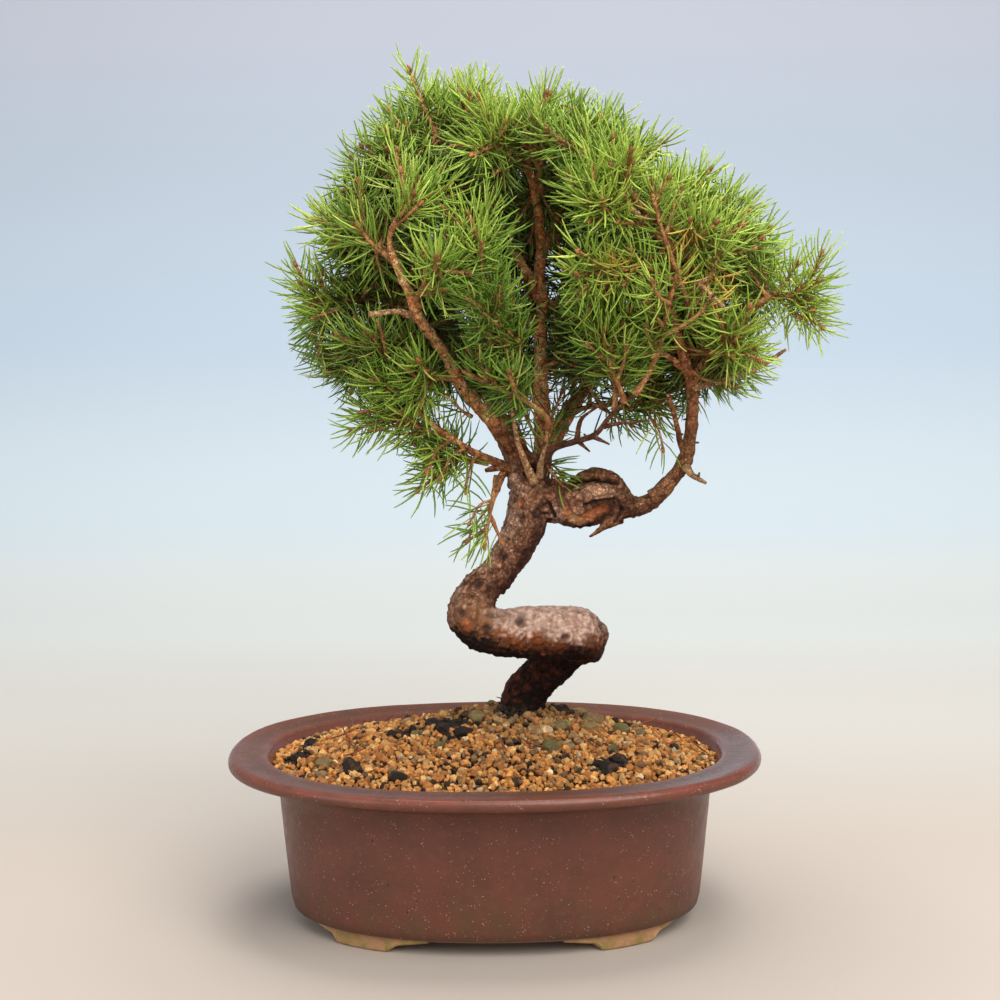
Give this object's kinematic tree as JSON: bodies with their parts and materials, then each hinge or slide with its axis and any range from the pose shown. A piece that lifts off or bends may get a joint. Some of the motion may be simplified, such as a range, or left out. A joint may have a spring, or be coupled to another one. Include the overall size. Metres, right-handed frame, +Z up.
{
  "type": "spruce bonsai in an oval pot",
  "caption": "Coiled-trunk miniature spruce with needled sprays, growing from a gravel mound in a flared oval glazed pot on bracket feet.",
  "frame": {"origin": "on the surface the pot stands on, below the middle of the object's bounding box", "axes": "+Z up, from the pot's feet to the crown; +X along the pot's length, to the right seen from the front; -Y towards the front"},
  "size_m": [0.2876, 0.1897, 0.4129],
  "materials": {
    "glaze": "satin purple-brown glaze with fine pale specks, bare tan clay on the feet",
    "soil": "loose matte orange-tan gravel with grey, olive and dark grains",
    "screen": "matte black mesh",
    "bark": "rough scaly bark, pinkish grey-brown with rust-coloured patches",
    "needles": "satin living needles, yellow-green at the tips and darker inside, on orange-brown twigs"
  },
  "bodies": {
    "root": {"pot": "glaze", "drain_screen_left": "screen", "drain_screen_right": "screen", "soil": "soil", "wood": "bark", "spray_01": "needles", "spray_02": "needles", "spray_03": "needles", "spray_04": "needles", "spray_05": "needles", "spray_06": "needles", "spray_07": "needles", "spray_08": "needles", "spray_09": "needles", "spray_10": "needles", "spray_11": "needles", "spray_12": "needles", "spray_13": "needles", "spray_14": "needles", "spray_15": "needles", "spray_16": "needles", "spray_17": "needles", "spray_18": "needles", "spray_19": "needles", "spray_20": "needles", "spray_21": "needles", "spray_22": "needles", "spray_23": "needles", "spray_24": "needles", "spray_25": "needles", "spray_26": "needles", "spray_27": "needles", "spray_28": "needles", "spray_29": "needles", "spray_30": "needles", "spray_31": "needles", "spray_32": "needles", "spray_33": "needles", "spray_34": "needles", "spray_35": "needles", "spray_36": "needles", "spray_37": "needles", "spray_38": "needles", "spray_39": "needles", "spray_40": "needles", "spray_41": "needles", "spray_42": "needles", "spray_43": "needles", "spray_44": "needles", "spray_45": "needles", "spray_46": "needles", "spray_47": "needles", "spray_48": "needles", "spray_49": "needles", "spray_50": "needles", "spray_51": "needles", "spray_52": "needles", "spray_53": "needles", "spray_54": "needles"}
  },
  "joints": []
}
